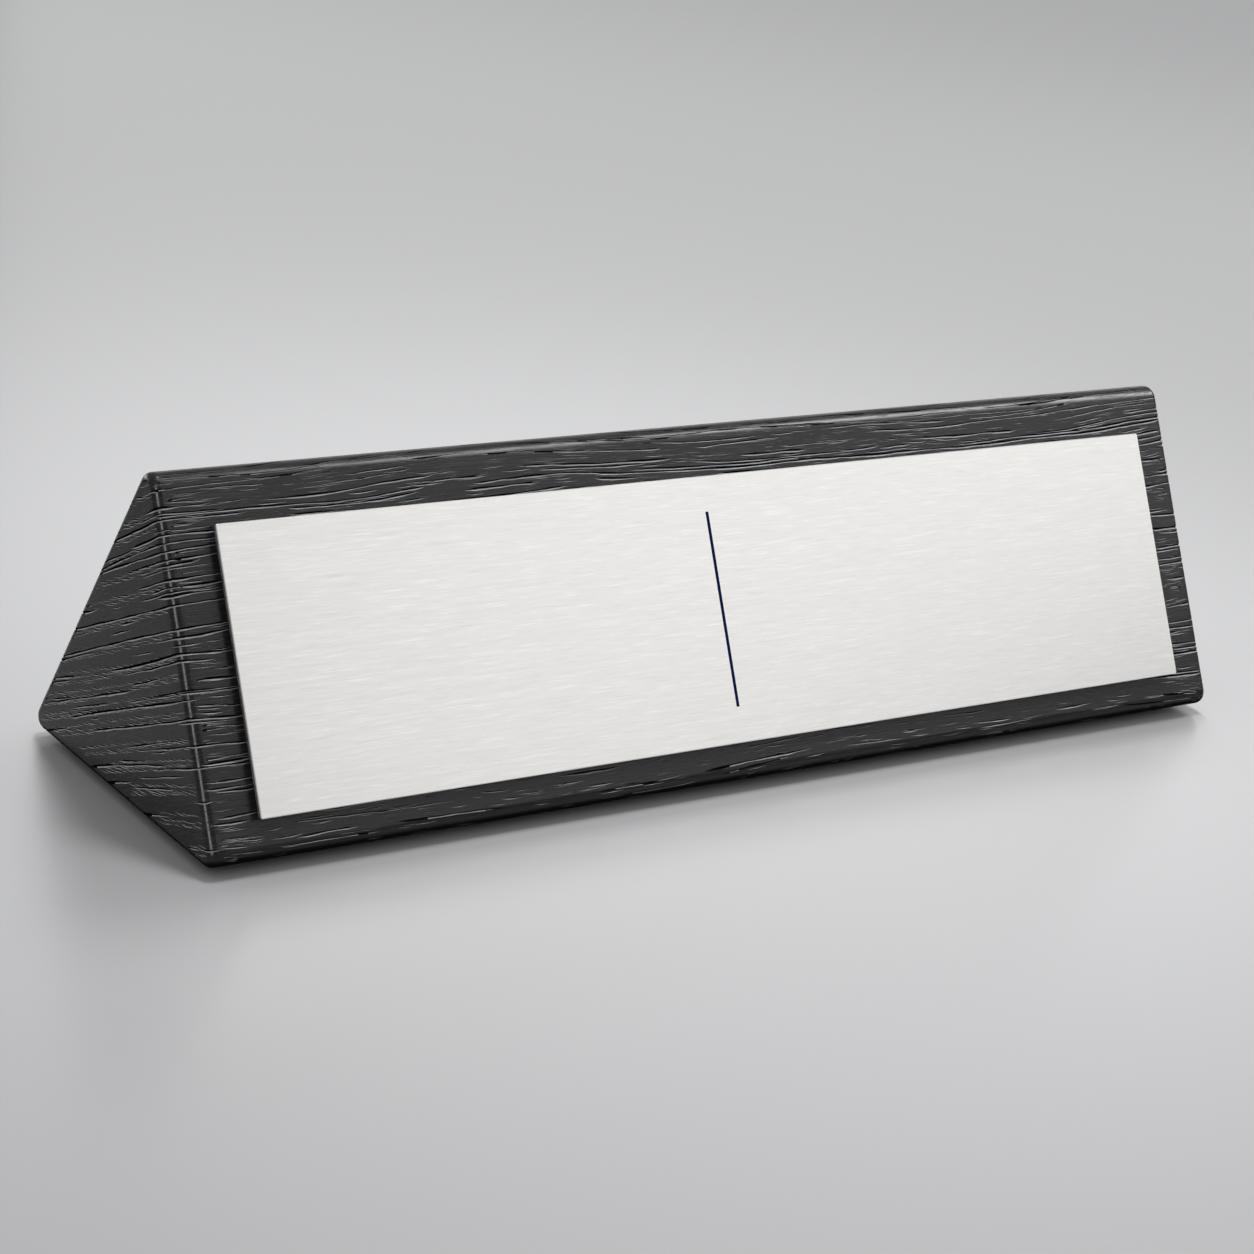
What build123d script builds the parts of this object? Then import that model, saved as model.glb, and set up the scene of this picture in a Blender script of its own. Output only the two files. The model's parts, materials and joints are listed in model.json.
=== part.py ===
"""Desk name plate: a rounded triangular block of black stained wood that carries a brushed metal plate.

The plate is held on the block's sloping front by strips of foam tape, an enamel divider rule is inlaid
in it, and the block stands on thin non-slip pads.

Units are millimetres. +X runs along the block to the reader's right, -Y faces the reader and +Z is up.
The origin is on the desk, under the middle of the block.
"""

import os
from math import sqrt

from build123d import *

# Brushed plate
PLATE_WIDTH = 216.0
PLATE_HEIGHT = 50.0
PLATE_THICKNESS = 0.8
PLATE_CORNER_RADIUS = 0.4
PLATE_BEVEL = 0.15

# Wood left bare round the plate, measured to the block's sharp edges, before these are rounded
END_MARGIN = 9.5
LOWER_MARGIN = 8.4
UPPER_MARGIN = 12.75

# Wooden block, as deep as its sharp lower edges lie apart
BLOCK_DEPTH = 68.0
RIDGE_RADIUS = 3.0
LOWER_EDGE_RADIUS = 2.5
END_EDGE_RADIUS = 1.5

# Divider rule, an enamel strip in a groove of the plate, left of the plate's middle
RULE_WIDTH = 0.7
RULE_DEPTH = 0.25
RULE_MARGIN = 6.7
RULE_OFFSET = 5.3

# Foam tape between the plate and the block
TAPE_THICKNESS = 1.0
TAPE_WIDTH = 12.0
TAPE_INSET = 1.8
TAPE_NAMES = ("tape_lower", "tape_middle", "tape_upper")

# Non-slip pads under the block, set in from its ends and from its sharp lower edges
PAD_DIAMETER = 12.0
PAD_THICKNESS = 1.5
PAD_RIM_RADIUS = 0.4
PAD_END_INSET = 22.0
PAD_SIDE_INSET = 14.0

# The block frames the plate with its margins, and its height follows from the slope's length
block_length = PLATE_WIDTH + 2 * END_MARGIN
slope_length = LOWER_MARGIN + PLATE_HEIGHT + UPPER_MARGIN
block_height = sqrt(slope_length**2 - (BLOCK_DEPTH / 2) ** 2)

# The sloping front, with its local Y up the slope from the sharp lower edge
front = Plane(
    origin=(0, -BLOCK_DEPTH / 2, PAD_THICKNESS),
    x_dir=(1, 0, 0),
    z_dir=(0, -block_height, BLOCK_DEPTH / 2),
)
plate_back = front.offset(TAPE_THICKNESS)
plate_face = plate_back.offset(PLATE_THICKNESS)
out_of_front = Axis(front.origin, front.z_dir)

plate_middle = (0, LOWER_MARGIN + PLATE_HEIGHT / 2)
rule_middle = (-RULE_OFFSET, LOWER_MARGIN + PLATE_HEIGHT / 2)
rule_length = PLATE_HEIGHT - 2 * RULE_MARGIN

os.makedirs("parts", exist_ok=True)

# Block: a triangle with a rounded ridge and rounded lower edges, softened round both ends
with BuildPart() as wedge_block:
    with BuildSketch(Plane.YZ) as profile:
        with BuildLine():
            Polyline(
                (-BLOCK_DEPTH / 2, PAD_THICKNESS),
                (BLOCK_DEPTH / 2, PAD_THICKNESS),
                (0, PAD_THICKNESS + block_height),
                close=True,
            )
        make_face()
        fillet(profile.vertices().group_by(Axis.Y)[-1], radius=RIDGE_RADIUS)
        fillet(profile.vertices().group_by(Axis.Y)[0], radius=LOWER_EDGE_RADIUS)
    extrude(amount=block_length / 2, both=True)
    fillet(wedge_block.faces().filter_by(Axis.X).edges(), radius=END_EDGE_RADIUS)
wedge_block.part.label = "wedge_block"
export_step(wedge_block.part, "parts/wedge_block.step")

# Plate: eased corners, a fine bevel round the face that shows and a groove for the rule
with BuildPart() as name_plate:
    with BuildSketch(plate_back) as plate_outline:
        with Locations(plate_middle):
            Rectangle(PLATE_WIDTH, PLATE_HEIGHT)
        fillet(plate_outline.vertices(), radius=PLATE_CORNER_RADIUS)
    extrude(amount=PLATE_THICKNESS)
    chamfer(name_plate.faces().sort_by(out_of_front)[-1].edges(), length=PLATE_BEVEL)
    with BuildSketch(plate_face):
        with Locations(rule_middle):
            Rectangle(RULE_WIDTH, rule_length)
    extrude(amount=-RULE_DEPTH, mode=Mode.SUBTRACT)
name_plate.part.label = "name_plate"
export_step(name_plate.part, "parts/name_plate.step")

# Divider rule: fills the groove flush with the plate's face
with BuildPart() as divider_rule:
    with BuildSketch(plate_face):
        with Locations(rule_middle):
            Rectangle(RULE_WIDTH, rule_length)
    extrude(amount=-RULE_DEPTH)
divider_rule.part.label = "divider_rule"
export_step(divider_rule.part, "parts/divider_rule.step")

# Foam tape: strips spread evenly up the plate, set back from its edges
lowest_strip = LOWER_MARGIN + TAPE_INSET + TAPE_WIDTH / 2
highest_strip = LOWER_MARGIN + PLATE_HEIGHT - TAPE_INSET - TAPE_WIDTH / 2
strip_step = (highest_strip - lowest_strip) / (len(TAPE_NAMES) - 1)
for index, name in enumerate(TAPE_NAMES):
    with BuildPart() as tape_strip:
        with BuildSketch(front):
            with Locations((0, lowest_strip + index * strip_step)):
                Rectangle(PLATE_WIDTH - 2 * TAPE_INSET, TAPE_WIDTH)
        extrude(amount=TAPE_THICKNESS)
    tape_strip.part.label = name
    export_step(tape_strip.part, f"parts/{name}.step")

# Pads: round, with an eased lower rim and a flat top against the block's underside
pad_x = block_length / 2 - PAD_END_INSET
pad_y = BLOCK_DEPTH / 2 - PAD_SIDE_INSET
for side, y in (("front", -pad_y), ("rear", pad_y)):
    for end, x in (("left", -pad_x), ("right", pad_x)):
        with BuildPart() as pad:
            with BuildSketch():
                with Locations((x, y)):
                    Circle(PAD_DIAMETER / 2)
            extrude(amount=PAD_THICKNESS)
            fillet(pad.edges().filter_by(GeomType.CIRCLE).sort_by(Axis.Z)[0], radius=PAD_RIM_RADIUS)
        pad.part.label = f"pad_{side}_{end}"
        export_step(pad.part, f"parts/pad_{side}_{end}.step")
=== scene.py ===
"""Desk name plate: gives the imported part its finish, as an add-on that is run as a script.

The wooden block is carved with the open pores of its grain, and the plate, its divider rule, the foam tape
and the pads keep their own shapes and get their materials. Lengths are in metres, in the part's own frame:
+X runs along the block to the reader's right, -Y faces the reader and +Z is up.
"""

import json
from math import radians, tau

import bmesh
import bpy
import numpy as np
from bpy.props import FloatProperty, FloatVectorProperty, IntProperty, PointerProperty
from mathutils import Matrix, Vector
from mathutils.bvhtree import BVHTree
from mathutils.interpolate import poly_3d_calc


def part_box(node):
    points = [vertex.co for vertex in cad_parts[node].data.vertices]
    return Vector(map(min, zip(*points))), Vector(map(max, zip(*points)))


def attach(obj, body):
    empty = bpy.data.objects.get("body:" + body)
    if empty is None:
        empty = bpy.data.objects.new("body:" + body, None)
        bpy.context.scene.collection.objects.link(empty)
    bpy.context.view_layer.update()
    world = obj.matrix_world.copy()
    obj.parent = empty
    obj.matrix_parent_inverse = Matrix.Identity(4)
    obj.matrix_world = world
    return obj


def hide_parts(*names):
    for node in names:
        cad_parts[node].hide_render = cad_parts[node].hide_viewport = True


bl_info = {
    "name": "Desk Name Plate",
    "version": (1, 0, 0),
    "blender": (4, 5, 0),
    "location": "3D View > Sidebar > Name Plate",
    "description": "Carves and finishes a wooden desk name plate with a brushed plate, and sets its stage",
    "category": "Object",
}

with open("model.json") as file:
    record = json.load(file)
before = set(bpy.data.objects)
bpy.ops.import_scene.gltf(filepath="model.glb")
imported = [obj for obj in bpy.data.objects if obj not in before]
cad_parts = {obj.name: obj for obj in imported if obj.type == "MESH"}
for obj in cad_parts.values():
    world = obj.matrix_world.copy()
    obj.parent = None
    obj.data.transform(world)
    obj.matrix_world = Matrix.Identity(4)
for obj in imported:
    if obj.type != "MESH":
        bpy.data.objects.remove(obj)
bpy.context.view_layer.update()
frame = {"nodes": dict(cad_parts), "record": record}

MM = 0.001
ALONG = np.array((1.0, 0.0, 0.0))


def name_face_mount():
    """The flat face of the plate, as the part's record states it."""
    return next(mount for mount in frame["record"]["mounts"] if mount["name"] == "name_face")


def node_points(name):
    """The points of a piece of the frame as one array."""
    mesh = frame["nodes"][name].data
    points = np.empty(len(mesh.vertices) * 3)
    mesh.vertices.foreach_get("co", points)
    return points.reshape(-1, 3)


# The sloping front: OUT leaves it, UP_SLOPE climbs it, and FOOT is the middle of its sharp lower edge
OUT = np.array(name_face_mount()["axis"])
OUT /= np.linalg.norm(OUT)
UP_SLOPE = np.cross(OUT, ALONG)
BLOCK_LOW, BLOCK_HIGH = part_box("wedge_block")
HALF_LENGTH = BLOCK_HIGH.x
FRONT_OFFSET = (node_points("wedge_block") @ OUT).max()
FOOT = np.array((0.0, (FRONT_OFFSET - BLOCK_LOW.z * OUT[2]) / OUT[1], BLOCK_LOW.z))
SLOPE_LENGTH = -FOOT[1] / UP_SLOPE[1]
SLOPE_ANGLE = float(np.arctan2(UP_SLOPE[2], UP_SLOPE[1]))
# How fast the block deepens behind the front, going up from the lower edge and down from the ridge
DEEPEN_FROM_FOOT = np.tan(SLOPE_ANGLE)
DEEPEN_FROM_RIDGE = np.tan(np.pi - 2 * SLOPE_ANGLE)

PLATE_HEIGHTS = (node_points("name_plate") - FOOT) @ UP_SLOPE
PLATE_LOWER, PLATE_UPPER = PLATE_HEIGHTS.min(), PLATE_HEIGHTS.max()
PLATE_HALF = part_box("name_plate")[1].x

TAPE_NODES = ("tape_lower", "tape_middle", "tape_upper")
PAD_NODES = ("pad_front_left", "pad_front_right", "pad_rear_left", "pad_rear_right")

# Growth rings: sheets that stand square to the front, fan out a little and wave.
# A wave has a swing, a length along the block, a length into it and a level over which it drifts a turn,
# and each ring has one more wave of its own, which doesn't drift
RING_FAN = 3.9
RING_FAN_LEVEL = 43 * MM
RING_WAVES = (
    (0.9 * MM, 190 * MM, 260 * MM, 120 * MM),
    (0.40 * MM, 83 * MM, 150 * MM, 35 * MM),
    (0.10 * MM, 29 * MM, 60 * MM, 11 * MM),
)
OWN_WAVE = (0.22 * MM, 62 * MM, 75 * MM)
LOWEST_RING = -6 * MM
RING_STEP_AT_FOOT = 5.2 * MM
RING_STEP_AT_RIDGE = 2.4 * MM
RING_STEP_SPREAD = (0.8, 1.2)
# Rounds of working out where a ring leaves the block, which depends on its own height there
RING_BACK_ROUNDS = 6

# Long pores, in a band on each ring and alone between two rings. They have a spread of widths, as shares of
# the usual width, a spread of covers, which say how much of a line is open, and the length of line over
# which it opens and closes. A lone pore's place is a share of the step to the next ring
BAND_COUNT = (2, 3)
BAND_SPACING = (0.8 * MM, 1.1 * MM)
BAND_PORES = ((0.75, 1.1), (0.50, 0.64), 22 * MM)
LONE_PLACE_SHARES = (0.6, 0.85)
LONE_PORES = ((0.55, 0.8), (0.38, 0.48), 16 * MM)

# Hatching of short slanting pores where a ring reaches an end, with more rows on the lower rings
LOWER_HATCH_ROWS = 3
UPPER_HATCH_ROWS = 2
LOWER_RINGS_SHARE = 0.55
HATCH_ROW_STEP = 0.75 * MM
HATCH_FIRST_DEPTH = 3 * MM
HATCH_LENGTHS = (2.2 * MM, 5.0 * MM)
HATCH_SLANTS = (0.08, 0.20)
HATCH_ADVANCE_SHARES = (0.35, 0.9)
HATCH_POINTS = 5
HATCH_WIDTHS = (0.5, 0.7)
HATCH_COVER = 1.0
SHORT_RUN = 14 * MM

# Short single pores between the rings: an area has a side, a count of pores, and its bounds along the block
# and up the slope
SCATTER_AREAS = (
    ("front", 360, -HALF_LENGTH, HALF_LENGTH, PLATE_UPPER, SLOPE_LENGTH),
    ("front", 190, -HALF_LENGTH, HALF_LENGTH, 0.0, PLATE_LOWER),
    ("front", 150, -HALF_LENGTH, -PLATE_HALF, 0.0, SLOPE_LENGTH),
    ("front", 150, PLATE_HALF, HALF_LENGTH, 0.0, SLOPE_LENGTH),
    ("back", 200, -HALF_LENGTH, HALF_LENGTH, 0.0, SLOPE_LENGTH),
)
SCATTER_LENGTHS = (1.5 * MM, 7 * MM)
SCATTER_LEAST_POINTS = 3
SCATTER_WIDTHS = (0.4, 0.7)
SCATTER_COVER = 0.7

# Points of a line: the step between them, finer close to the block's edges, the step under which a point is
# left out, and the step and the cosine of a turn past which the line is broken
LINE_STEP = 2.0 * MM
EDGE_STEP = 0.4 * MM
EDGE_REACH = 2.1 * MM
SHORTEST_STEP = 0.22 * MM
LONGEST_STEP = 2.8 * MM
SHARPEST_TURN = 0.5
# How far inside an edge the line on one face hands over to the line on the next
HAND_OVER = 0.45 * MM
# Where a ring is shallower than this at an end, its front and its back are separate lines
SHALLOWEST_LOOP = 6 * MM
# Where on the back a line that goes all round starts and ends, and how far that strays from ring to ring
SEAM_SHARE = 0.5
SEAM_STRAY_SHARE = 0.4
# What is added to the cover of a pore on an end, and on the front beside the plate
END_COVER = -0.04
MARGIN_COVER = 0.02
# Heights up the slope and the pores' share of their width there: finer on the rounded edges
FINE_HEIGHTS = (2 * MM, 5.5 * MM, SLOPE_LENGTH - 9 * MM, SLOPE_LENGTH - 5.5 * MM)
FINE_SHARES = (0.6, 1.0, 1.0, 0.55)
# How far the pores run in under the plate's edges
UNDER_PLATE = 1.2 * MM
# How far off the block the rays start that find its surface
RAY_REACH = 0.2

# A pore: the length over which its ends taper, the shortest that is cut, and its section for a width of
# one, out of the surface and down the slope: steep above, easing to a lip below
PORE_TAPER = 2.5 * MM
SHORTEST_PORE = 1.2 * MM
PORE_SECTION = ((0.4, 0.95, 0.0), (-0.45, 0.2, 0.0), (-1.0, -0.15, 0.0), (0.4, -0.5, 0.0))
# How far apart two lines lie in the noise that breaks them into pores
NOISE_BETWEEN_LINES = 7.31
# Lines that pass through the same or neighbouring cubes of this size are cut in separate sets
SET_REACH = 1.6 * MM
# The block's mesh before it is cut: the reach that merges points, the angle that merges faces, its cells
MERGE_REACH = 0.001 * MM
FLAT_WITHIN = radians(0.05)
CELL = 5 * MM
# The cosines between the surface and what counts as a pore's lip: past these it is uncut wood or a wall
FLATTEST_LIP = 0.97
STEEPEST_LIP = 0.88

# The room's tint, the way to its brightest part, and how far it strays from its mean towards it
ROOM_TINT = (0.985, 0.99, 1.0, 1.0)
BRIGHT_WAY = (0.0, 0.6, 0.8)
ROOM_CONTRAST = 0.6
FLOOR_RADIUS = 4.0
FLOOR_SIDES = 96
# Softboxes, for everything and for the wood alone: the way to each from the block, how far off it stands,
# and its width and height
SOFTBOXES = {
    "key": ((0.69, -0.525, 0.50), 1.0, (1.1, 0.5)),
    "glow": ((0.72, 0.68, 0.235), 1.5, (1.4, 0.42)),
}
WOOD_SOFTBOXES = {
    "sheen": ((0.60, -0.64, 0.50), 1.0, (0.7, 0.5)),
    "rim": ((0.66, -0.15, 0.74), 1.2, (0.3, 0.7)),
    "back": ((-0.39, 0.92, 0.10), 1.5, (1.0, 0.3)),
    "edge": ((-0.80, -0.50, 0.33), 1.0, (0.28, 0.6)),
}
# Spots: the way to each from the block, how far off it stands, its radius and the angle of its cone
SPOTS = {
    "pool": ((0.32, 0.53, 0.79), 1.1, 0.18, radians(36)),
    "bounce": ((0.15, 0.12, 0.98), 1.1, 0.16, radians(24)),
}
# The camera: the width of its sensor in millimetres, and the nearest that it sees
SENSOR_WIDTH = 36.0
CLIP_START = 0.01
# A camera that isn't turned looks down: this raises it to look along +Y
LOOK_AHEAD = Matrix.Rotation(radians(90), 4, "X")


class WoodSettings(bpy.types.PropertyGroup):
    """The carved block."""

    stain: FloatVectorProperty(
        name="Stain", description="Colour of the stained wood", subtype="COLOR",
        default=(0.006, 0.006, 0.0064), min=0, max=1)
    streak: FloatVectorProperty(
        name="Streak", description="Colour of the paler fibres between the pores", subtype="COLOR",
        default=(0.014, 0.014, 0.015), min=0, max=1)
    # The pores' lips are painted pale: a painted highlight on their lower lips
    lip: FloatVectorProperty(
        name="Lip", description="Colour of the pores' rubbed lips", subtype="COLOR",
        default=(0.165, 0.165, 0.17), min=0, max=1)
    roughness: FloatProperty(
        name="Lacquer roughness", description="Mean roughness of the satin lacquer", subtype="FACTOR",
        default=0.27, min=0, max=1)
    pore_width: FloatProperty(
        name="Pore width", description="Usual width of an open pore", unit="LENGTH",
        default=0.53 * MM, min=0.05 * MM, max=2 * MM, precision=5)
    pore_depth: FloatProperty(
        name="Pore depth", description="Depth of a pore as a share of its width", subtype="FACTOR",
        default=0.4, min=0.1, max=1.5)
    waver: FloatProperty(
        name="Waver", description="How far a pore wanders to either side of its ring", unit="LENGTH",
        default=0.07 * MM, min=0, max=1 * MM, precision=5)
    seed: IntProperty(name="Seed", description="Picks another run of grain", default=11, min=0)


class PlateSettings(bpy.types.PropertyGroup):
    """The brushed plate and its divider rule."""

    metal: FloatVectorProperty(
        name="Metal", description="Colour of the brushed plate", subtype="COLOR",
        default=(0.88, 0.865, 0.842), min=0, max=1)
    roughness: FloatProperty(
        name="Brushing", description="Mean roughness of the brushed face", subtype="FACTOR",
        default=0.32, min=0, max=1)
    enamel: FloatVectorProperty(
        name="Enamel", description="Colour of the divider rule", subtype="COLOR",
        default=(0.002, 0.007, 0.062), min=0, max=1)


class MountingSettings(bpy.types.PropertyGroup):
    """The foam tape and the pads."""

    foam: FloatVectorProperty(
        name="Foam", description="Colour of the foam tape", subtype="COLOR",
        default=(0.012, 0.012, 0.012), min=0, max=1)
    rubber: FloatVectorProperty(
        name="Rubber", description="Colour of the pads", subtype="COLOR",
        default=(0.02, 0.02, 0.021), min=0, max=1)


class StageSettings(bpy.types.PropertyGroup):
    """The floor, the lights and the camera."""

    floor: FloatVectorProperty(
        name="Floor", description="Colour of the pale floor", subtype="COLOR",
        default=(0.54, 0.54, 0.548), min=0, max=1)
    room: FloatProperty(
        name="Room", description="Mean brightness of the pale room all round", default=0.36, min=0)
    key_power: FloatProperty(
        name="Key", description="Power of the large soft light on the right, which the plate mirrors",
        unit="POWER", default=1.32, min=0)
    glow_power: FloatProperty(
        name="Glow", description="Power of the soft light low behind the block, which the floor mirrors",
        unit="POWER", default=1.4, min=0)
    pool_power: FloatProperty(
        name="Pool", description="Power of the spot behind the block that pools round it", unit="POWER",
        default=23.0, min=0)
    bounce_power: FloatProperty(
        name="Bounce", description="Power of the light that the plate throws on to the floor before it",
        unit="POWER", default=32.0, min=0)
    sheen_power: FloatProperty(
        name="Sheen", description="Power of the soft light that only the front of the wood mirrors",
        unit="POWER", default=1.0, min=0)
    rim_power: FloatProperty(
        name="Rim", description="Power of the light that picks out the wood's ridge and the pores' lips",
        unit="POWER", default=15.0, min=0)
    back_power: FloatProperty(
        name="Back", description="Power of the light that picks out the pores' lips on the wood's end",
        unit="POWER", default=6.0, min=0)
    edge_power: FloatProperty(
        name="Edge", description="Power of the light that runs down the wood's rounded end edge",
        unit="POWER", default=7.0, min=0)
    camera_place: FloatVectorProperty(
        name="Camera", description="Where the camera stands", subtype="TRANSLATION", unit="LENGTH",
        default=(-0.37811, -0.45782, 0.24142))
    camera_turn: FloatVectorProperty(
        name="Camera turn", description="How the camera tilts, rolls and turns from looking along +Y",
        subtype="EULER", default=(radians(-20.584), radians(-8.309), radians(-38.696)))
    lens: FloatProperty(
        name="Lens", description="Focal length on a 36 mm sensor", unit="CAMERA", default=94.89, min=1)


class Value:
    """A socket's value in a node tree: arithmetic on it adds Math nodes."""

    def __init__(self, nodes, socket):
        self.nodes = nodes
        self.socket = socket

    def math(self, operation, other):
        """A Math node on this value and another."""
        return self.nodes.add("ShaderNodeMath", {"operation": operation}, {0: self, 1: other})

    def __add__(self, other):
        return self.math("ADD", other)

    def __mul__(self, other):
        return self.math("MULTIPLY", other)

    def __sub__(self, other):
        return self.math("SUBTRACT", other)

    def __rsub__(self, other):
        return self.nodes.add("ShaderNodeMath", {"operation": "SUBTRACT"}, {0: other, 1: self})

    def __truediv__(self, other):
        return self.math("DIVIDE", other)

    __radd__ = __add__
    __rmul__ = __mul__

    def least(self, other):
        return self.math("MINIMUM", other)

    def most(self, other):
        return self.math("MAXIMUM", other)

    def stretched(self, factors):
        """A vector times a vector of factors."""
        return self.nodes.add("ShaderNodeVectorMath", {"operation": "MULTIPLY"}, {0: self, 1: factors})

    def between(self, low, high, to_low=0.0, to_high=1.0):
        """A smooth step from to_low to to_high as the value goes from low to high."""
        return self.nodes.add(
            "ShaderNodeMapRange", {"interpolation_type": "SMOOTHSTEP"},
            {"Value": self, "From Min": low, "From Max": high, "To Min": to_low, "To Max": to_high})


class Nodes:
    """Adds nodes to one tree and links what is given for their sockets."""

    def __init__(self, tree):
        self.tree = tree

    def add(self, kind, settings=None, sockets=None, output=0):
        """Adds a node with these settings and socket values or links, and gives one of its outputs."""
        node = self.tree.nodes.new(kind)
        for name, value in (settings or {}).items():
            setattr(node, name, value)
        for name, value in (sockets or {}).items():
            if isinstance(value, Value):
                self.tree.links.new(value.socket, node.inputs[name])
            else:
                node.inputs[name].default_value = value
        return Value(self, node.outputs[output]) if node.outputs else None

    def noise(self, vector, detail, roughness=0.5, **settings):
        """Perlin noise from 0 to 1 at a scale of one, for a vector that is already scaled."""
        return self.add("ShaderNodeTexNoise", settings, {
            "Vector": vector, "Scale": 1.0, "Detail": detail, "Roughness": roughness})

    def colour(self, factor, low, high):
        """A mix of two colours, each a colour value or three numbers."""
        low, high = (c if isinstance(c, Value) else (*c, 1.0) for c in (low, high))
        return self.add("ShaderNodeMix", {"data_type": "RGBA"}, {0: factor, 6: low, 7: high}, output=2)

    def bump(self, height, distance, strength):
        """The normal of a surface that a height of one lifts by a distance."""
        return self.add("ShaderNodeBump", {}, {
            "Height": height, "Distance": distance, "Strength": strength})


def new_material(name):
    """An empty material and the Nodes that fill it."""
    material = bpy.data.materials.new(name)
    material.use_nodes = True
    material.node_tree.nodes.clear()
    return material, Nodes(material.node_tree)


def principled(shader, **sockets):
    """A Principled shader with these sockets."""
    names = {name.replace("_", " ").title().replace("Ior", "IOR"): value for name, value in sockets.items()}
    return shader.add("ShaderNodeBsdfPrincipled", {}, {
        name: (*value, 1.0) if isinstance(value, tuple) else value for name, value in names.items()})


def finish_with(shader, **sockets):
    """Ends a material in one Principled shader with these sockets."""
    shader.add("ShaderNodeOutputMaterial", {}, {"Surface": principled(shader, **sockets)})


def up_the_slope(shader):
    """Coordinates that run along the block, up its front and out of its front."""
    place = shader.add("ShaderNodeTexCoord", output="Object")
    return shader.add("ShaderNodeMapping", {}, {"Vector": place, "Rotation": (-SLOPE_ANGLE, 0.0, 0.0)})


def per(*lengths):
    """The factors that turn metres into counts of these lengths, given in millimetres."""
    return tuple(1 / (length * MM) for length in lengths)


def black_wood(settings):
    """Wood stained black under a satin lacquer, dull in the carved pores, with a painted highlight on their
    lips.
    """
    material, shader = new_material("black_open_grain_wood")
    grain = up_the_slope(shader)
    # Painted shade: faces that turn down are dulled and take most of the dark pore finish
    facing = shader.add("ShaderNodeNewGeometry", output="Normal")
    downwards = 0.0 - shader.add("ShaderNodeSeparateXYZ", {}, {"Vector": facing}, output="Z")
    underside_shade = downwards.between(0.05, 0.45)
    pore = shader.add("ShaderNodeAttribute", {"attribute_name": "pore_wall"}, output="Fac")
    lip = shader.add("ShaderNodeAttribute", {"attribute_name": "pore_lip"}, output="Fac")
    fibres = shader.noise(grain.stretched(per(16, 0.30, 3.5)), detail=3.0)
    flecks = shader.noise(grain.stretched(per(4, 0.22, 2.2)), detail=2.0)
    bands = shader.noise(grain.stretched(per(110, 5, 30)), detail=1.0)
    pale = fibres.between(0.42, 0.72) * bands.between(0.25, 0.75, 0.35, 1.0)
    wood = shader.colour(pale, tuple(settings.stain), tuple(settings.streak))
    # Painted highlight: the lips take the pale lip colour, broken up by the flecks
    highlit = lip * flecks.between(0.3, 0.7, 0.4, 1.0)
    dull = underside_shade.most(lip * 0.35)
    pits = flecks.between(0.60, 0.72)
    lacquered = principled(
        shader,
        base_color=shader.colour(highlit, wood, tuple(settings.lip)),
        roughness=(settings.roughness + (fibres - 0.5) * 0.25) * (1.0 - dull) + dull * 0.85,
        specular_ior_level=0.2,
        normal=shader.bump(fibres * 0.5 - pits, 0.03 * MM, 0.6),
    )
    # The stain lies thicker in a pore, and the lacquer doesn't reach it; on the underside this dark finish
    # is painted shade
    open_wood_and_shade = principled(
        shader,
        base_color=tuple(0.3 * part for part in settings.stain),
        roughness=1.0,
        specular_ior_level=0.0,
    )
    surface = shader.add("ShaderNodeMixShader", {}, {0: pore.most(underside_shade * 0.85), 1: lacquered, 2: open_wood_and_shade})
    shader.add("ShaderNodeOutputMaterial", {}, {"Surface": surface})
    return material


def brushed_metal(settings):
    """Metal brushed along the plate: fine streaks with short bright and dark scratches."""
    material, shader = new_material("brushed_plate")
    along = up_the_slope(shader)
    streaks = shader.noise(along.stretched(per(26, 0.14, 5)), detail=3.0, roughness=0.6)
    scratches = shader.noise(along.stretched(per(5, 0.22, 5)), detail=2.0)
    light = scratches.between(0.55, 0.72) - scratches.between(0.45, 0.28) * 0.6
    metal = np.array(settings.metal)
    finish_with(
        shader,
        base_color=shader.colour(
            light * 0.5 + streaks, tuple(metal * 0.89), tuple(np.minimum(metal * 1.09, 1.0))),
        metallic=1.0,
        roughness=settings.roughness + (streaks - 0.5) * 0.25,
        normal=shader.bump(streaks + scratches * 0.5, 0.006 * MM, 0.5),
    )
    return material


def hard_enamel(settings):
    """Poured enamel with a slight pull in its surface."""
    material, shader = new_material("navy_enamel")
    along = up_the_slope(shader)
    pull = shader.noise(along.stretched(per(0.9, 2.5, 0.9)), detail=2.0)
    enamel = np.array(settings.enamel)
    finish_with(
        shader,
        base_color=shader.colour(pull, tuple(enamel * 0.8), tuple(enamel * 1.25)),
        roughness=pull * 0.12 + 0.45,
        specular_ior_level=0.05,
        normal=shader.bump(pull, 0.02 * MM, 0.4),
    )
    return material


def closed_cell_foam(settings):
    """Foam tape with cut cells along its edge."""
    material, shader = new_material("foam_tape")
    place = shader.add("ShaderNodeTexCoord", output="Object")
    cells = shader.add("ShaderNodeTexVoronoi", {}, {
        "Vector": place.stretched(per(0.22, 0.22, 0.22)), "Scale": 1.0})
    foam = np.array(settings.foam)
    finish_with(
        shader,
        base_color=shader.colour(cells.between(0.1, 0.6), tuple(foam * 0.5), tuple(foam * 1.6)),
        roughness=0.95 - cells * 0.15,
        normal=shader.bump(cells, 0.06 * MM, 0.8),
    )
    return material


def pebbled_rubber(settings):
    """Soft rubber with a fine pebble and a dusty bloom."""
    material, shader = new_material("pad_rubber")
    place = shader.add("ShaderNodeTexCoord", output="Object")
    pebble = shader.add("ShaderNodeTexVoronoi", {"feature": "SMOOTH_F1"}, {
        "Vector": place.stretched(per(0.45, 0.45, 0.45)), "Scale": 1.0})
    bloom = shader.noise(place.stretched(per(3, 3, 3)), detail=4.0)
    rubber = np.array(settings.rubber)
    finish_with(
        shader,
        base_color=shader.colour(bloom, tuple(rubber * 0.7), tuple(rubber * 1.6)),
        roughness=bloom * 0.2 + 0.65,
        normal=shader.bump(pebble, 0.08 * MM, 0.7),
    )
    return material


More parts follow.
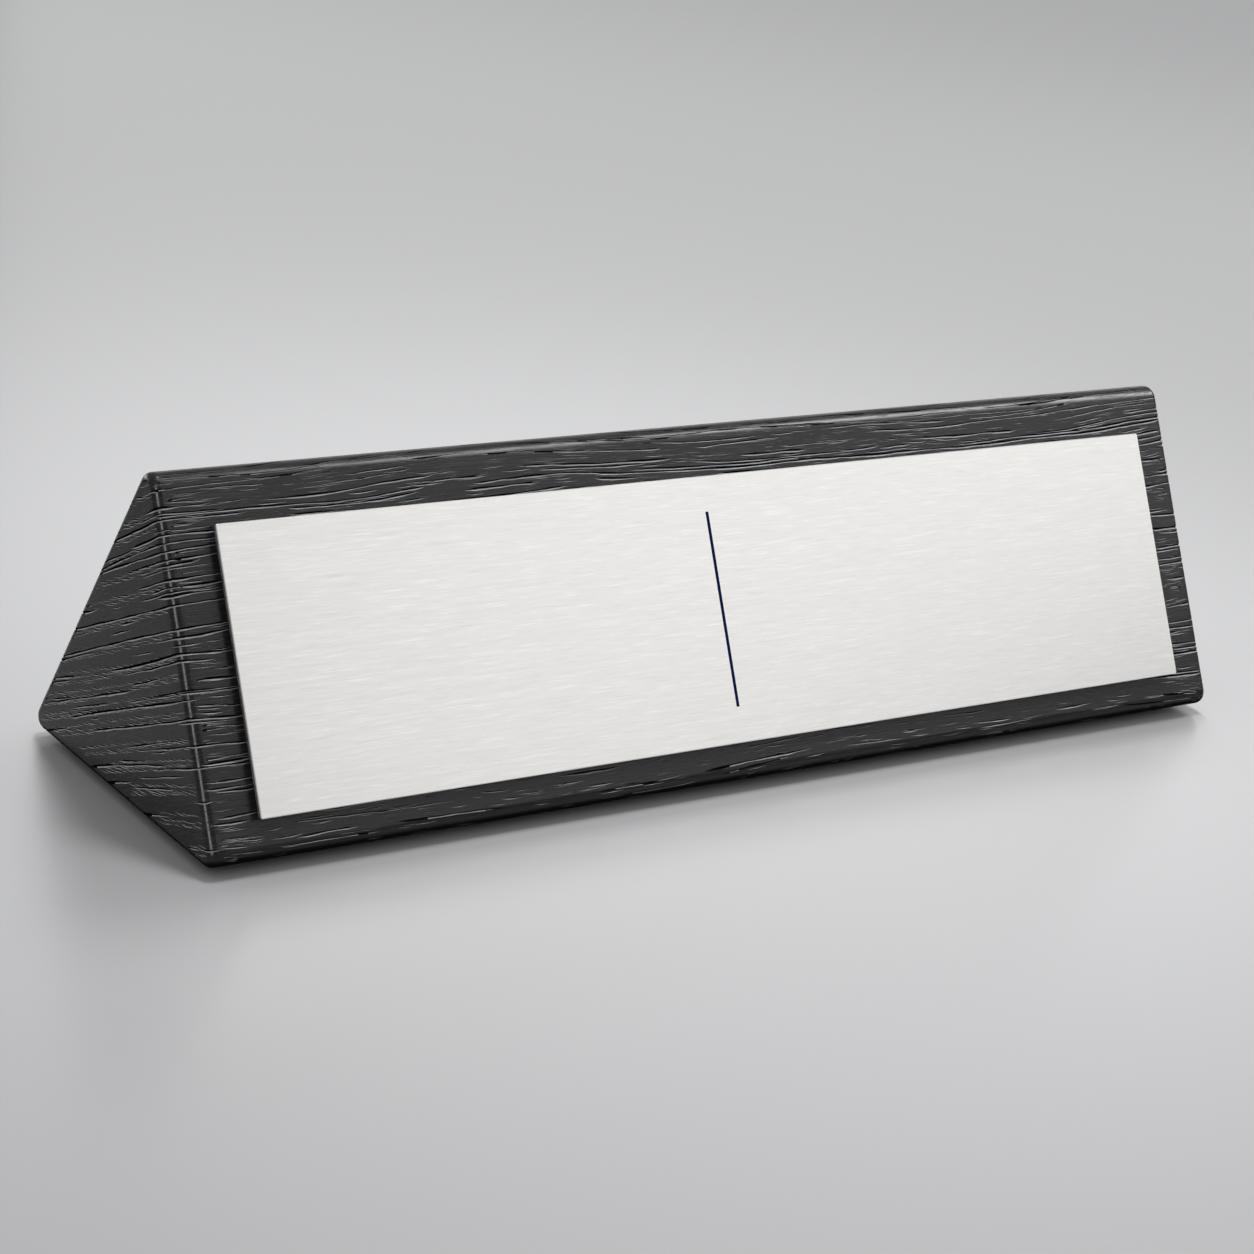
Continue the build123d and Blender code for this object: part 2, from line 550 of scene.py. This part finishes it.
def pale_floor(settings):
    """Smooth pale floor with a satin surface."""
    material, shader = new_material("pale_floor")
    finish_with(shader, base_color=tuple(settings.floor), roughness=0.25, specular_ior_level=1.0)
    return material


class BlockSurface:
    """The block's surface, which rays find and which knows its smooth normals."""

    def __init__(self, mesh):
        corners = np.empty(len(mesh.loops) * 3)
        mesh.corner_normals.foreach_get("vector", corners)
        self.normals = corners.reshape(-1, 3)
        self.points = [vertex.co.copy() for vertex in mesh.vertices]
        self.faces = [tuple(polygon.vertices) for polygon in mesh.polygons]
        self.corners = [tuple(polygon.loop_indices) for polygon in mesh.polygons]
        self.tree = BVHTree.FromPolygons(self.points, self.faces)

    def normal_at(self, point, face):
        """The smooth normal at a point of a face."""
        shares = poly_3d_calc([self.points[v] for v in self.faces[face]], point)
        normal = sum(share * self.normals[corner] for share, corner in zip(shares, self.corners[face]))
        return normal / np.linalg.norm(normal)

    def meet(self, start, direction):
        """Where a ray meets the surface, with its normal there, or None."""
        point, _, face, _ = self.tree.ray_cast(Vector(start), Vector(direction))
        return None if point is None else (point, self.normal_at(point, face))

    def normal_near(self, point):
        """The normal of the surface nearest to a point."""
        found, _, face, _ = self.tree.find_nearest(point)
        return self.normal_at(found, face)


class GrainLines:
    """Lines for pores, laid on the block's surface point by point."""

    # Where rays start from for each face, and the way they go
    SIDES = {
        "front": (OUT, -OUT),
        "back": (-OUT, OUT),
        "right": (ALONG, -ALONG),
        "left": (-ALONG, ALONG),
    }
    ENDS = ("left", "right")

    def __init__(self, surface):
        self.surface = surface
        self.points, self.normals, self.edges = [], [], []
        names = ("pore_width", "pore_cover", "pore_run", "pore_line", "pore_set")
        self.fields = {name: [] for name in names}
        self.count = 0
        self.sets_near = {}

    def point_on(self, side, across, height):
        """The surface at a height up the slope: across runs along the block, or on an end into it."""
        away, direction = self.SIDES[side]
        inside = FOOT + UP_SLOPE * height + (-OUT if side in self.ENDS else ALONG) * across
        return self.surface.meet(inside + away * RAY_REACH, direction)

    def draw(self, stations, width, cover, run_length):
        """Adds a line through stations (side, across, height), broken off the block and under the plate."""
        self.count += 1
        first, run, last, heading = len(self.points), 0.0, None, None
        for side, across, height in stations:
            beside_plate = abs(across) > PLATE_HALF - UNDER_PLATE
            level_with_plate = PLATE_LOWER + UNDER_PLATE < height < PLATE_UPPER - UNDER_PLATE
            hidden = side == "front" and level_with_plate and not beside_plate
            met = None if hidden else self.point_on(side, across, height)
            if met is None:
                last = None
                continue
            point, normal = met
            if last is not None:
                step = point - self.points[last]
                backwards = heading is not None and step.dot(heading) < SHARPEST_TURN * step.length
                if step.length < SHORTEST_STEP or (backwards and step.length < LINE_STEP):
                    continue
                run += step.length / run_length
                heading = step.normalized()
                if step.length > LONGEST_STEP or backwards:
                    last = heading = None
            if last is not None:
                self.edges.append((last, len(self.points)))
            last = len(self.points)
            self.points.append(point)
            self.normals.append(normal)
            fine, extra = 1.0, 0.0
            if side in self.ENDS:
                extra = END_COVER
            else:
                fine = np.interp(height, FINE_HEIGHTS, FINE_SHARES)
                if side == "front" and beside_plate:
                    extra = MARGIN_COVER
            for name, value in zip(self.fields, (width * fine, cover + extra, run, self.count)):
                self.fields[name].append(value)
        self.fields["pore_set"] += [self.free_set(self.points[first:])] * (len(self.points) - first)

    def free_set(self, points):
        """The first set of cutters with nothing near these points, so that no set overlaps itself."""
        cubes = np.floor(np.array(points).reshape(-1, 3) / SET_REACH).astype(int)
        spots = {tuple(cube) for cube in cubes}
        near = set()
        for spot in spots:
            near |= self.sets_near.get(spot, set())
        number = next(n for n in range(len(near) + 1) if n not in near)
        for x, y, z in spots:
            for step in np.ndindex(3, 3, 3):
                around = (x + step[0] - 1, y + step[1] - 1, z + step[2] - 1)
                self.sets_near.setdefault(around, set()).add(number)
        return number

    def as_object(self):
        """The lines as a mesh of edges that carries its fields."""
        mesh = bpy.data.meshes.new("grain_lines")
        mesh.from_pydata(self.points, self.edges, [])
        for name, values in self.fields.items():
            mesh.attributes.new(name, "FLOAT", "POINT").data.foreach_set("value", values)
        normals = mesh.attributes.new("pore_normal", "FLOAT_VECTOR", "POINT")
        normals.data.foreach_set("vector", np.ravel(self.normals))
        return bpy.data.objects.new("grain_lines", mesh)


def ring_height(level, across, depth, turn):
    """How far up the slope a growth ring lies, at a place along the block and a depth behind its front."""
    height = level + RING_FAN * (RING_FAN_LEVEL - level) * depth
    for swing, length, depth_length, drift in RING_WAVES:
        height = height + swing * np.sin(tau * (across / length + depth / depth_length + level / drift))
    swing, length, depth_length = OWN_WAVE
    return height + swing * np.sin(tau * (across / length + depth / depth_length) + turn)


def block_depth(height):
    """How deep the block is behind a height of its front."""
    return max(0.0, min(height * DEEPEN_FROM_FOOT, (SLOPE_LENGTH - height) * DEEPEN_FROM_RIDGE))


def stations_along(length):
    """Places from zero to a length, closer together near both ends."""
    edge = min(EDGE_REACH, length / 3)
    near = np.linspace(0, edge, max(2, round(edge / EDGE_STEP)), endpoint=False)
    middle = np.linspace(edge, length - edge, max(2, round((length - 2 * edge) / LINE_STEP)))
    return np.concatenate((near, middle, (length - near)[::-1]))


def ring_back(level, across, turn):
    """How deep a growth ring runs before it comes out at the back or the base."""
    depth = block_depth(level)
    for _ in range(RING_BACK_ROUNDS):
        depth = block_depth(ring_height(level, across, depth, turn))
    return depth


def ring_stations(level, turn):
    """The stations of one growth ring: all round the block, or front and back apart where it is shallow.

    Every line keeps the uphill side on its left, which sets the lip of its pores downhill.
    """
    along = HAND_OVER + stations_along(2 * (HALF_LENGTH - HAND_OVER)) - HALF_LENGTH
    front = [("front", x, ring_height(level, x, 0, turn)) for x in along]
    back = [("back", x, ring_height(level, x, ring_back(level, x, turn), turn)) for x in along[::-1]]
    if min(ring_back(level, x, turn) for x in (-HALF_LENGTH, HALF_LENGTH)) < SHALLOWEST_LOOP:
        return [front, back]
    ends = {}
    for side, x in (("right", HALF_LENGTH), ("left", -HALF_LENGTH)):
        # From one hand-over behind the front to two before the back
        deep = HAND_OVER + stations_along(max(ring_back(level, x, turn) - 3 * HAND_OVER, LINE_STEP))
        ends[side] = [(side, depth, ring_height(level, x, depth, turn)) for depth in deep]
    seam = round(len(back) * (SEAM_SHARE + SEAM_STRAY_SHARE * np.sin(turn)))
    return [back[seam:] + ends["left"][::-1] + front + ends["right"] + back[:seam]]


def lay_rings(lines, rng):
    """A band of long pores on each growth ring, one more before the next ring, and hatching on the ends."""
    level = LOWEST_RING
    while level < SLOPE_LENGTH + RING_STEP_AT_FOOT:
        share = np.clip(level / SLOPE_LENGTH, 0, 1)
        mean_step = RING_STEP_AT_FOOT + (RING_STEP_AT_RIDGE - RING_STEP_AT_FOOT) * share
        step = mean_step * rng.uniform(*RING_STEP_SPREAD)
        for pore in range(rng.integers(*BAND_COUNT, endpoint=True)):
            draw_ring(lines, rng, level + pore * rng.uniform(*BAND_SPACING), *BAND_PORES)
        draw_ring(lines, rng, level + step * rng.uniform(*LONE_PLACE_SHARES), *LONE_PORES)
        hatch_ends(lines, rng, level, LOWER_HATCH_ROWS if share < LOWER_RINGS_SHARE else UPPER_HATCH_ROWS)
        level += step


def draw_ring(lines, rng, level, widths, covers, run_length):
    """One pore line round the block, with a width and a cover between these."""
    width, cover = rng.uniform(*widths), rng.uniform(*covers)
    for stations in ring_stations(level, rng.uniform(0, tau)):
        lines.draw(stations, width, cover, run_length)


def places_about(middle, length, count, backwards):
    """Evenly spaced places over a length about a middle."""
    places = middle + np.linspace(-0.5, 0.5, count) * length
    return places[::-1] if backwards else places


def hatch_ends(lines, rng, level, rows):
    """Rows of short slanting pores along one ring on both ends of the block."""
    for side, x in (("left", -HALF_LENGTH), ("right", HALF_LENGTH)):
        for row in range(rows):
            middle = level + row * HATCH_ROW_STEP
            depth = rng.uniform(0, HATCH_FIRST_DEPTH)
            turn = rng.uniform(0, tau)
            while depth < block_depth(level):
                length, slant = rng.uniform(*HATCH_LENGTHS), rng.uniform(*HATCH_SLANTS)
                places = places_about(depth, length, HATCH_POINTS, backwards=side == "left")
                lines.draw(
                    [(side, d, ring_height(middle, x, d, turn) + slant * (d - depth)) for d in places],
                    width=rng.uniform(*HATCH_WIDTHS), cover=HATCH_COVER, run_length=SHORT_RUN)
                depth += length * rng.uniform(*HATCH_ADVANCE_SHARES)


def scatter_pores(lines, rng):
    """Short single pores between the rings, over the front, the back and the margins beside the plate."""
    for side, count, left, right, low, high in SCATTER_AREAS:
        for _ in range(count):
            middle, level = rng.uniform(left, right), rng.uniform(low, high)
            length, turn = rng.uniform(*SCATTER_LENGTHS), rng.uniform(0, tau)
            depth = block_depth(level) if side == "back" else 0.0
            points = max(SCATTER_LEAST_POINTS, round(length / LINE_STEP) + 1)
            lines.draw(
                [(side, x, ring_height(level, x, depth, turn))
                 for x in places_about(middle, length, points, backwards=side == "back")],
                width=rng.uniform(*SCATTER_WIDTHS), cover=SCATTER_COVER, run_length=SHORT_RUN)


def open_pores_tree():
    """Geometry nodes that break the lines into runs, sweep a pore along each and cut it from the block."""
    tree = bpy.data.node_groups.new("open_pores", "GeometryNodeTree")
    inputs = {
        "Block": "NodeSocketGeometry",
        "Grain Lines": "NodeSocketObject",
        "Pore Width": "NodeSocketFloat",
        "Pore Depth": "NodeSocketFloat",
        "Waver": "NodeSocketFloat",
        "Taper": "NodeSocketFloat",
        "Shortest": "NodeSocketFloat",
        "Seed": "NodeSocketFloat",
        "Finish": "NodeSocketMaterial",
    }
    for name, kind in inputs.items():
        tree.interface.new_socket(name, in_out="INPUT", socket_type=kind)
    tree.interface.new_socket("Carved Block", in_out="OUTPUT", socket_type="NodeSocketGeometry")
    nodes = Nodes(tree)
    given = tree.nodes.new("NodeGroupInput")

    def asked(name):
        """One of the tree's inputs."""
        return Value(nodes, given.outputs[name])

    def field(name, kind="FLOAT"):
        """A field that the grain lines carry."""
        return nodes.add("GeometryNodeInputNamedAttribute", {"data_type": kind}, {"Name": name})

    def line_noise(frequency):
        """Noise along each line, at a frequency of one for the runs in which it opens and closes."""
        spot = nodes.add("ShaderNodeCombineXYZ", {}, {
            "X": field("pore_run") * frequency,
            "Y": field("pore_line") * NOISE_BETWEEN_LINES + asked("Seed")})
        return nodes.noise(spot, detail=1.0, noise_dimensions="2D")

    # The lines without their bare stretches, as curves
    lines = nodes.add("GeometryNodeObjectInfo", {}, {"Object": asked("Grain Lines")}, output="Geometry")
    bare = nodes.add(
        "FunctionNodeCompare", {"operation": "GREATER_THAN"}, {0: line_noise(1.0), 1: field("pore_cover")})
    runs = nodes.add("GeometryNodeDeleteGeometry", {"domain": "POINT"}, {
        "Geometry": lines, "Selection": bare})
    runs = nodes.add("GeometryNodeMeshToCurve", {}, {"Mesh": runs})
    run_length = nodes.add("GeometryNodeSplineLength", output="Length")
    short = nodes.add("FunctionNodeCompare", {"operation": "LESS_THAN"}, {
        0: run_length, 1: asked("Shortest")})
    runs = nodes.add("GeometryNodeDeleteGeometry", {"domain": "CURVE"}, {
        "Geometry": runs, "Selection": short})

    # Each run wanders sideways on the surface: noise strays about a quarter to either side of a half
    normal = field("pore_normal", "FLOAT_VECTOR")
    tangent = nodes.add("GeometryNodeInputTangent")
    sideways = nodes.add("ShaderNodeVectorMath", {"operation": "CROSS_PRODUCT"}, {0: normal, 1: tangent})
    wander = (line_noise(4.0) - 0.5) * 4.0 * asked("Waver")
    shift = nodes.add("ShaderNodeVectorMath", {"operation": "SCALE"}, {0: sideways, "Scale": wander})
    runs = nodes.add("GeometryNodeSetPosition", {}, {"Geometry": runs, "Offset": shift})
    runs = nodes.add("GeometryNodeSetCurveNormal", {"mode": "FREE"}, {"Curve": runs, "Normal": normal})

    # A pore thins out at its ends and swells and narrows in between
    gone = nodes.add("GeometryNodeSplineParameter", output="Length")
    left = nodes.add("GeometryNodeSplineLength", output="Length") - gone
    taper = (gone.least(left) / asked("Taper")).between(0.0, 1.0, 0.12, 1.0)
    size = asked("Pore Width") * field("pore_width") * taper * line_noise(3.0).between(0.3, 0.7, 0.6, 1.25)

    # The section is swept along the runs, and the block is cut by one set of pores after another
    section = nodes.add("GeometryNodeCurvePrimitiveQuadrilateral", {"mode": "POINTS"}, {
        f"Point {number}": point for number, point in enumerate(PORE_SECTION, 1)})
    shape = nodes.add("ShaderNodeCombineXYZ", {}, {"X": asked("Pore Depth"), "Y": 1.0, "Z": 1.0})
    section = nodes.add("GeometryNodeTransform", {}, {"Geometry": section, "Scale": shape})
    pores = nodes.add("GeometryNodeCurveToMesh", {}, {
        "Curve": runs, "Profile Curve": section, "Scale": size, "Fill Caps": True})
    pores = nodes.add("GeometryNodeSplitToInstances", {"domain": "FACE"}, {
        "Geometry": pores, "Group ID": field("pore_set")})
    carved = nodes.add("GeometryNodeMeshBoolean", {"operation": "DIFFERENCE", "solver": "MANIFOLD"}, {
        "Mesh 1": asked("Block"), "Mesh 2": pores}, output="Mesh")
    carved = nodes.add("GeometryNodeRealizeInstances", {}, {"Geometry": carved})
    carved = nodes.add("GeometryNodeSetMaterial", {}, {"Geometry": carved, "Material": asked("Finish")})
    nodes.add("NodeGroupOutput", {}, {"Carved Block": carved})
    return tree


def blank_mesh(cad):
    """A merged copy of the block, divided into cells so that each pore cuts only small faces."""
    shape = bmesh.new()
    shape.from_mesh(cad)
    bmesh.ops.remove_doubles(shape, verts=shape.verts, dist=MERGE_REACH)
    bmesh.ops.dissolve_limit(shape, angle_limit=FLAT_WITHIN, verts=shape.verts, edges=shape.edges)
    spans = (
        (ALONG, -HALF_LENGTH, HALF_LENGTH),
        (UP_SLOPE, 0.0, SLOPE_LENGTH),
        (OUT, -SLOPE_LENGTH, 0.0),
    )
    for normal, low, high in spans:
        for place in np.arange(low + CELL / 2, high, CELL):
            geometry = [*shape.verts, *shape.edges, *shape.faces]
            bmesh.ops.bisect_plane(shape, geom=geometry, plane_co=FOOT + normal * place, plane_no=normal)
    bmesh.ops.triangulate(shape, faces=shape.faces)
    mesh = bpy.data.meshes.new("blank_block")
    shape.to_mesh(mesh)
    shape.free()
    return mesh


def set_inputs(modifier, values):
    """Sets a geometry nodes modifier's inputs by name, through their identifiers."""
    for item in modifier.node_group.interface.items_tree:
        if item.in_out == "INPUT" and item.name in values:
            modifier[item.identifier] = values[item.name]


def link(thing):
    """Puts a new object into the scene."""
    bpy.context.scene.collection.objects.link(thing)
    return thing


def smooth_wood(mesh, surface):
    """Gives uncut wood the block's smooth normals, keeps the pores flat and marks their walls and lips."""
    smooth = np.array([surface.normal_near(vertex.co) for vertex in mesh.vertices])
    normals = np.empty((len(mesh.loops), 3))
    walls, lips = np.zeros(len(mesh.polygons)), np.zeros(len(mesh.polygons))
    for polygon in mesh.polygons:
        own = np.array(polygon.normal)
        rounded = smooth[list(polygon.vertices)]
        leaning = (rounded @ own).min()
        normals[list(polygon.loop_indices)] = rounded if leaning > FLATTEST_LIP else own
        lips[polygon.index] = STEEPEST_LIP < leaning <= FLATTEST_LIP
        walls[polygon.index] = leaning <= STEEPEST_LIP
    mesh.normals_split_custom_set(normals)
    for name, values in (("pore_wall", walls), ("pore_lip", lips)):
        mesh.attributes.new(name, "FLOAT", "FACE").data.foreach_set("value", values)


def coat_node(name, material):
    """Puts a material on every slot of a piece that keeps its own shape."""
    for slot in frame["nodes"][name].material_slots:
        slot.material = material


class NAMEPLATE_OT_block(bpy.types.Operator):
    """Carve the open pores of the grain into the wooden block and finish it"""

    bl_idname = "nameplate.block"
    bl_label = "Wooden block"

    def execute(self, context):
        settings = context.scene.name_plate_wood
        cad = frame["nodes"]["wedge_block"].data
        surface = BlockSurface(cad)
        rng = np.random.default_rng(settings.seed)
        lines = GrainLines(surface)
        lay_rings(lines, rng)
        scatter_pores(lines, rng)
        guide = link(lines.as_object())

        blank = link(bpy.data.objects.new("blank_block", blank_mesh(cad)))
        modifier = blank.modifiers.new("Open pores", "NODES")
        modifier.node_group = open_pores_tree()
        set_inputs(modifier, {
            "Grain Lines": guide,
            "Pore Width": settings.pore_width,
            "Pore Depth": settings.pore_depth,
            "Waver": settings.waver,
            "Taper": PORE_TAPER,
            "Shortest": SHORTEST_PORE,
            "Seed": float(settings.seed),
            "Finish": black_wood(settings),
        })
        evaluated = blank.evaluated_get(context.evaluated_depsgraph_get())
        mesh = bpy.data.meshes.new_from_object(evaluated)
        for scrap in (blank, guide):
            bpy.data.objects.remove(scrap)
        if len(mesh.polygons) <= len(cad.polygons):
            raise RuntimeError("no pore was cut from the block")
        mesh.name = "carved_block"
        smooth_wood(mesh, surface)
        block = link(bpy.data.objects.new("carved_block", mesh))
        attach(block, "root")
        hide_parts("wedge_block")
        return {"FINISHED"}


class NAMEPLATE_OT_plate(bpy.types.Operator):
    """Finish the brushed plate and the enamel rule in it"""

    bl_idname = "nameplate.plate"
    bl_label = "Plate and rule"

    def execute(self, context):
        settings = context.scene.name_plate_plate
        coat_node("name_plate", brushed_metal(settings))
        coat_node("divider_rule", hard_enamel(settings))
        return {"FINISHED"}


class NAMEPLATE_OT_mounting(bpy.types.Operator):
    """Finish the foam tape behind the plate and the pads under the block"""

    bl_idname = "nameplate.mounting"
    bl_label = "Tape and pads"

    def execute(self, context):
        settings = context.scene.name_plate_mounting
        foam, rubber = closed_cell_foam(settings), pebbled_rubber(settings)
        for name in TAPE_NODES:
            coat_node(name, foam)
        for name in PAD_NODES:
            coat_node(name, rubber)
        return {"FINISHED"}


def place_light(light, power, way, distance, only=None):
    """Stands a light off the block and turns it to it, for everything or for one collection only."""
    light.energy = power
    lamp = link(bpy.data.objects.new(light.name, light))
    aim = Vector((0.0, 0.0, BLOCK_HIGH.z / 2))
    away = Vector(way).normalized()
    turn = away.to_track_quat("Z", "Y").to_matrix().to_4x4()
    lamp.matrix_world = Matrix.Translation(aim + away * distance) @ turn
    lamp.visible_camera = False
    lamp.light_linking.receiver_collection = only


def softbox(name, power, way, distance, size, only=None):
    """A rectangular soft light."""
    light = bpy.data.lights.new(f"{name}_light", "AREA")
    light.shape = "RECTANGLE"
    light.size, light.size_y = size
    place_light(light, power, way, distance, only)


def soft_spot(name, power, way, distance, radius, cone):
    """A round light whose cone fades out to its rim."""
    light = bpy.data.lights.new(f"{name}_light", "SPOT")
    light.shadow_soft_size = radius
    light.spot_size, light.spot_blend = cone, 1.0
    place_light(light, power, way, distance)


def pale_room(brightness):
    """A world that is brighter overhead and behind the block than in front of it."""
    world = bpy.data.worlds.new("pale_room")
    world.use_nodes = True
    world.node_tree.nodes.clear()
    nodes = Nodes(world.node_tree)
    way = nodes.add("ShaderNodeTexCoord", output="Generated")
    towards = nodes.add("ShaderNodeVectorMath", {"operation": "DOT_PRODUCT"}, {
        0: way, 1: BRIGHT_WAY}, output="Value")
    shade = nodes.add("ShaderNodeBackground", {}, {
        "Color": ROOM_TINT, "Strength": (1.0 + towards * ROOM_CONTRAST) * brightness})
    nodes.add("ShaderNodeOutputWorld", {}, {"Surface": shade})
    return world


class NAMEPLATE_OT_stage(bpy.types.Operator):
    """Set the floor, the soft lights and the camera"""

    bl_idname = "nameplate.stage"
    bl_label = "Stage"

    def execute(self, context):
        settings = context.scene.name_plate_stage
        mesh = bpy.data.meshes.new("floor")
        shape = bmesh.new()
        bmesh.ops.create_circle(shape, cap_ends=True, radius=FLOOR_RADIUS, segments=FLOOR_SIDES)
        shape.to_mesh(mesh)
        shape.free()
        mesh.materials.append(pale_floor(settings))
        link(bpy.data.objects.new("floor", mesh))

        wood_only = bpy.data.collections.new("wood_only")
        wood_only.objects.link(bpy.data.objects["carved_block"])
        for name, setup in SOFTBOXES.items():
            softbox(name, getattr(settings, f"{name}_power"), *setup)
        for name, setup in SPOTS.items():
            soft_spot(name, getattr(settings, f"{name}_power"), *setup)
        # The pool lights the floor, but the floor doesn't mirror its lamp
        bpy.data.objects["pool_light"].visible_glossy = False
        for name, setup in WOOD_SOFTBOXES.items():
            softbox(name, getattr(settings, f"{name}_power"), *setup, only=wood_only)
        context.scene.world = pale_room(settings.room)
        context.scene.view_settings.view_transform = "Standard"

        camera = bpy.data.cameras.new("camera")
        camera.lens, camera.sensor_width = settings.lens, SENSOR_WIDTH
        camera.clip_start = CLIP_START
        tilt, roll, turn = settings.camera_turn
        stand = link(bpy.data.objects.new("camera", camera))
        stand.matrix_world = (
            Matrix.Translation(settings.camera_place)
            @ Matrix.Rotation(turn, 4, "Z")
            @ Matrix.Rotation(tilt, 4, "X")
            @ Matrix.Rotation(roll, 4, "Y")
            @ LOOK_AHEAD)
        context.scene.camera = stand
        return {"FINISHED"}


class NAMEPLATE_PT_sidebar(bpy.types.Panel):
    """Lists the pieces and their settings."""

    bl_label = "Desk Name Plate"
    bl_idname = "NAMEPLATE_PT_sidebar"
    bl_space_type = "VIEW_3D"
    bl_region_type = "UI"
    bl_category = "Name Plate"

    def draw(self, context):
        for operator, group in STEPS:
            box = self.layout.box()
            box.operator(operator.bl_idname)
            settings = getattr(context.scene, group)
            for name in settings.bl_rna.properties.keys():
                if name not in ("rna_type", "name"):
                    box.prop(settings, name)


GROUPS = {
    "name_plate_wood": WoodSettings,
    "name_plate_plate": PlateSettings,
    "name_plate_mounting": MountingSettings,
    "name_plate_stage": StageSettings,
}
STEPS = (
    (NAMEPLATE_OT_block, "name_plate_wood"),
    (NAMEPLATE_OT_plate, "name_plate_plate"),
    (NAMEPLATE_OT_mounting, "name_plate_mounting"),
    (NAMEPLATE_OT_stage, "name_plate_stage"),
)
CLASSES = (*GROUPS.values(), *(operator for operator, _ in STEPS), NAMEPLATE_PT_sidebar)


def register():
    for item in CLASSES:
        bpy.utils.register_class(item)
    for name, group in GROUPS.items():
        setattr(bpy.types.Scene, name, PointerProperty(type=group))


def unregister():
    for name in GROUPS:
        delattr(bpy.types.Scene, name)
    for item in reversed(CLASSES):
        bpy.utils.unregister_class(item)


def main():
    register()
    bpy.ops.nameplate.block()
    bpy.ops.nameplate.plate()
    bpy.ops.nameplate.mounting()
    bpy.ops.nameplate.stage()


if __name__ == "__main__":
    main()
